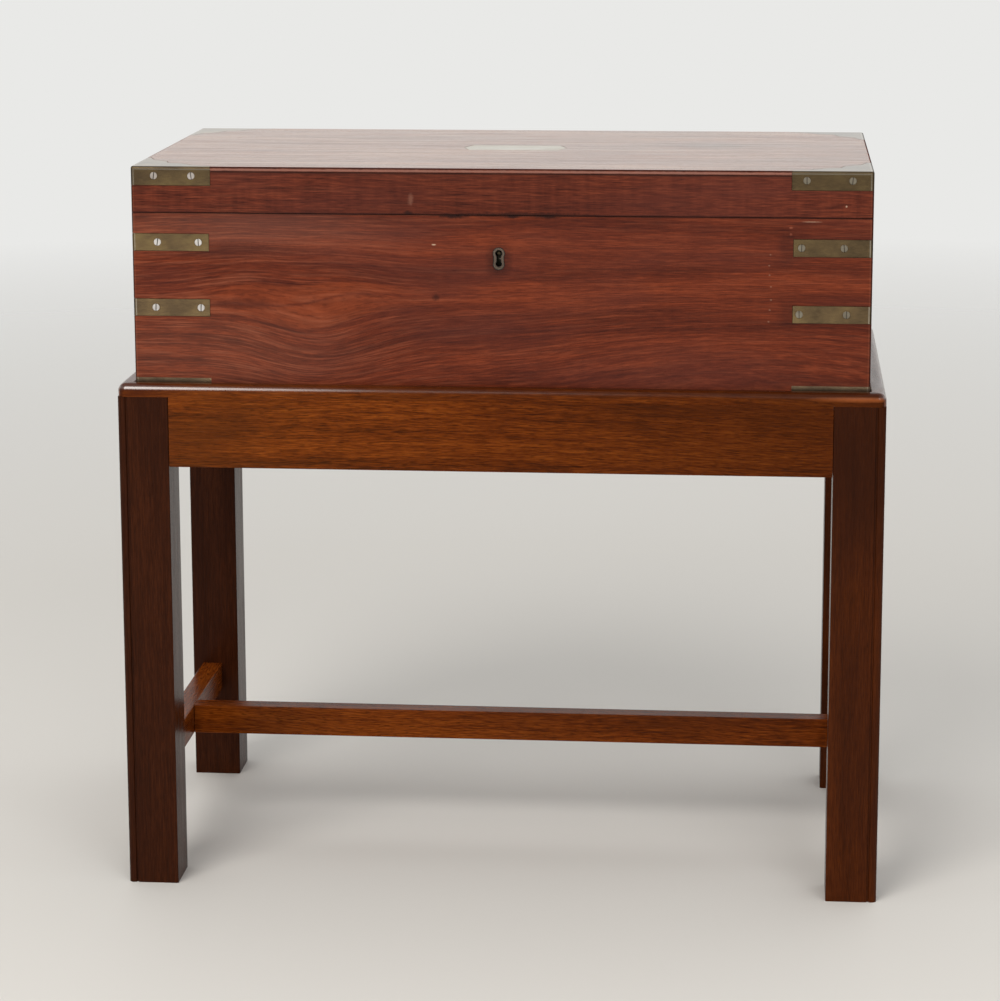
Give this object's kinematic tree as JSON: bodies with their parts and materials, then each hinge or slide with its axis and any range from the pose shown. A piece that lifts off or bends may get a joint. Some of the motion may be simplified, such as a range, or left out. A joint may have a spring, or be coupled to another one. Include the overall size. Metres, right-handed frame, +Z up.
{
  "type": "lap desk on stand",
  "caption": "Brass-bound wooden writing box whose slant-cut lid opens into a leather writing slope with pen tray and inkwells, resting in a rimmed stand with square legs and an H stretcher.",
  "frame": {"origin": "on the floor, under the middle of the stand", "axes": "+X to the right along the front, +Y towards the back and the hinges, +Z up"},
  "size_m": [0.53, 0.292, 0.512],
  "materials": {
    "box_wood": "satin wax polish on figured mahogany",
    "lining_wood": "matt oiled mahogany",
    "stand_wood": "clear lacquer on orange-brown mahogany",
    "leg_wood": "dark lacquered mahogany",
    "brass": "dull olive-brown patina",
    "steel": "filed",
    "leather": "smooth skiver with a blind-tooled border",
    "glass": "clear, polished"
  },
  "bodies": {
    "stand": {"leg_front_left": "leg_wood", "leg_front_right": "leg_wood", "leg_back_left": "leg_wood", "leg_back_right": "leg_wood", "apron_front": "stand_wood", "apron_back": "stand_wood", "apron_left": "stand_wood", "apron_right": "stand_wood", "rim_front": "stand_wood", "rim_back": "stand_wood", "rim_left": "stand_wood", "rim_right": "stand_wood", "stretcher_left": "leg_wood", "stretcher_right": "leg_wood", "stretcher_cross": "stand_wood"},
    "desk_case": {"case_front": "box_wood", "case_back": "box_wood", "case_left": "box_wood", "case_right": "box_wood", "case_bottom": "lining_wood", "lower_strap_front_left": "brass", "lower_strap_front_right": "brass", "lower_strap_back_left": "brass", "lower_strap_back_right": "brass", "upper_strap_front_left": "brass", "upper_strap_front_right": "brass", "hinge_left_case_leaf": "brass", "hinge_right_case_leaf": "brass", "hinge_left_pin": "steel", "hinge_right_pin": "steel", "lock_case": "brass", "keyhole_escutcheon": "brass", "pen_shelf": "lining_wood", "compartment_divider": "lining_wood", "case_writing_flap": "leather", "well_partition_left": "lining_wood", "well_partition_right": "lining_wood", "pen_tray": "lining_wood", "inkwell_left": "glass", "inkwell_right": "glass"},
    "lid": {"lid_front": "box_wood", "lid_back": "box_wood", "lid_left": "box_wood", "lid_right": "box_wood", "lid_top": "box_wood", "lid_corner_front_left": "brass", "lid_corner_front_right": "brass", "lid_corner_back_left": "brass", "lid_corner_back_right": "brass", "upper_strap_back_left": "brass", "upper_strap_back_right": "brass", "name_plate": "brass", "hinge_left_lid_leaf": "brass", "hinge_right_lid_leaf": "brass", "link_plate": "brass", "lid_writing_flap": "leather"},
    "lock_bolt": {"lock_bolt": "steel"},
    "inkwell_cap_left": {"inkwell_cap_left": "brass"},
    "inkwell_cap_right": {"inkwell_cap_right": "brass"}
  },
  "joints": [
    {"name": "desk_lift", "type": "slide", "parent": "stand", "child": "desk_case", "axis": [0, 0, 1], "range_m": [0, 0.15]},
    {"name": "lid_hinge", "type": "hinge", "parent": "desk_case", "child": "lid", "pos_m": [0, 0.1362, 0.43229], "axis": [-1, 0, 0], "range_deg": [0, 170]},
    {"name": "lock_bolt_slide", "type": "slide", "parent": "desk_case", "child": "lock_bolt", "axis": [1, 0, 0], "range_m": [0, 0.005]},
    {"name": "inkwell_cap_left_lift", "type": "slide", "parent": "desk_case", "child": "inkwell_cap_left", "axis": [0, 0, 1], "range_m": [0, 0.012]},
    {"name": "inkwell_cap_right_lift", "type": "slide", "parent": "desk_case", "child": "inkwell_cap_right", "axis": [0, 0, 1], "range_m": [0, 0.012]}
  ]
}
